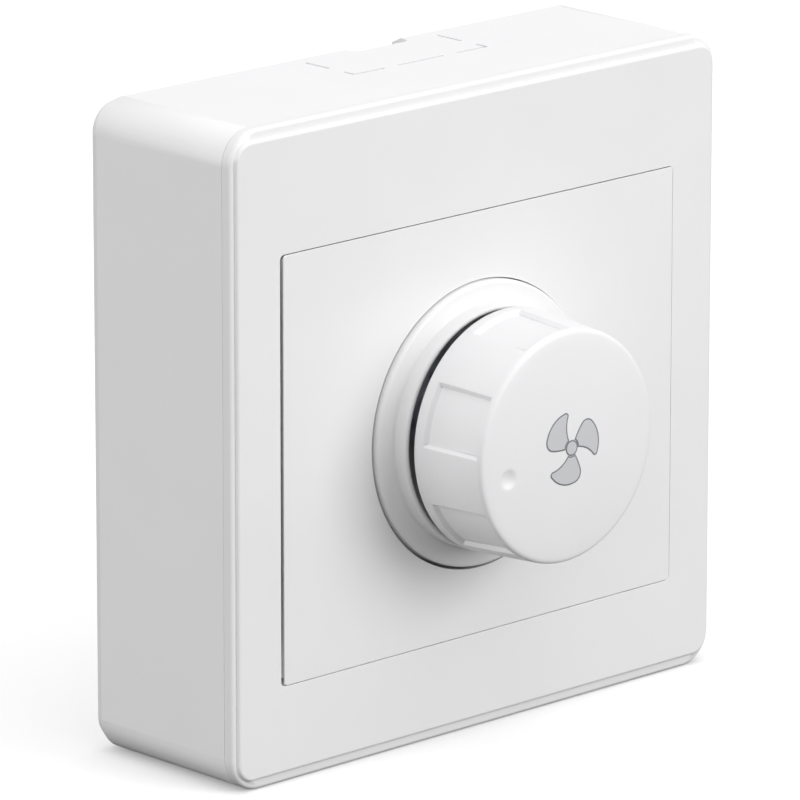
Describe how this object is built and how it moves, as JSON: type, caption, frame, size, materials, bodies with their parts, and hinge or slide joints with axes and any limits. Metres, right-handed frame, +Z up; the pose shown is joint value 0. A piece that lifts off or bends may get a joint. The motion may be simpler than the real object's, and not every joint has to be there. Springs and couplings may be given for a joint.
{
  "type": "rotary fan speed controller",
  "caption": "Surface-mounted square wall box with a cover frame, centre plate, collar and round knob that turns and presses to set and switch the speed of a fan.",
  "frame": {"origin": "centre of the back box's rear face, on the wall plane", "axes": "+Z up, +X to the right as seen from the front, +Y into the wall; the knob faces -Y"},
  "size_m": [0.086, 0.0437, 0.086],
  "materials": {
    "box_plastic": "satin white moulding",
    "face_plastic": "satin white moulding",
    "knob_plastic": "satin white moulding",
    "symbol_grey": "light grey print",
    "spindle_steel": "turned bright steel",
    "spring_steel": "blued spring steel",
    "bush_brass": "turned, nickel-free",
    "zinc_steel": "zinc-plated pressing",
    "contact_bronze": "phosphor bronze",
    "track_phenolic": "brown phenolic paper",
    "rotor_nylon": "natural nylon",
    "switch_plastic": "black moulding",
    "plunger_plastic": "red moulding",
    "board_laminate": "green solder mask",
    "sink_aluminium": "mill finish",
    "package_black": "moulded epoxy",
    "tinned_copper": "tinned",
    "core_powder": "yellow coated powder core",
    "enamelled_copper": "enamelled copper wire",
    "fuse_glass": "clear glass",
    "diode_glass": "orange glass",
    "film_capacitor": "yellow box",
    "ceramic_brown": "dipped coating",
    "resistor_body": "beige lacquer",
    "terminal_grey": "grey moulding",
    "clamp_brass": "nickel-free brass",
    "trimmer_blue": "blue moulding"
  },
  "bodies": {
    "housing": {"back_box": "box_plastic", "cover_frame": "face_plastic", "centre_plate": "face_plastic", "knob_collar": "face_plastic", "spindle_bush": "bush_brass", "bush_washer": "zinc_steel", "bush_nut": "zinc_steel", "potentiometer_can": "zinc_steel", "resistive_track": "track_phenolic", "switch_housing": "switch_plastic", "switch_spring": "spring_steel", "mounting_strap": "zinc_steel", "strap_screws": "zinc_steel", "board_pillars": "clamp_brass", "board_screws": "zinc_steel", "heat_sink": "sink_aluminium", "triac_body": "package_black", "triac_tab": "tinned_copper", "triac_legs": "tinned_copper", "triac_screw": "zinc_steel", "triac_nut": "zinc_steel", "choke_core": "core_powder", "choke_winding": "enamelled_copper", "fuse_tube": "fuse_glass", "fuse_caps": "tinned_copper", "fuse_clips": "contact_bronze", "terminal_block": "terminal_grey", "terminal_clamps": "clamp_brass", "terminal_screws": "zinc_steel", "circuit_board": "board_laminate", "component_pins": "tinned_copper", "suppression_capacitor": "film_capacitor", "timing_capacitor": "ceramic_brown", "resistors": "resistor_body", "diac": "diode_glass", "trimmer_base": "trimmer_blue"},
    "wiper": {"wiper_rotor": "rotor_nylon", "wiper_contact": "contact_bronze"},
    "knob": {"spindle": "spindle_steel", "spindle_clip": "spring_steel", "knob_grip_spring": "spring_steel", "knob_shell": "knob_plastic", "fan_symbol": "symbol_grey"},
    "plunger": {"switch_plunger": "plunger_plastic"},
    "trimmer": {"trimmer_rotor": "rotor_nylon"}
  },
  "joints": [
    {"name": "knob_turn", "type": "hinge", "parent": "housing", "child": "wiper", "pos_m": [0, -0.0174, -0.002], "axis": [0, 1, 0], "range_deg": [0, 270]},
    {"name": "knob_press", "type": "slide", "parent": "wiper", "child": "knob", "axis": [0, 1, 0], "range_m": [0, 0.001], "stiffness_N_per_m": 1500, "springref_m": -0.001},
    {"name": "plunger_slide", "type": "slide", "parent": "housing", "child": "plunger", "axis": [0, 1, 0], "range_m": [0, 0.001], "deforming": ["switch_spring"]},
    {"name": "trimmer_turn", "type": "hinge", "parent": "housing", "child": "trimmer", "pos_m": [0.02, -0.0138, -0.013], "axis": [0, 1, 0], "range_deg": [0, 270]}
  ],
  "couplings": [
    {"joint": "plunger_slide", "follows": "knob_press", "ratio": 1}
  ]
}
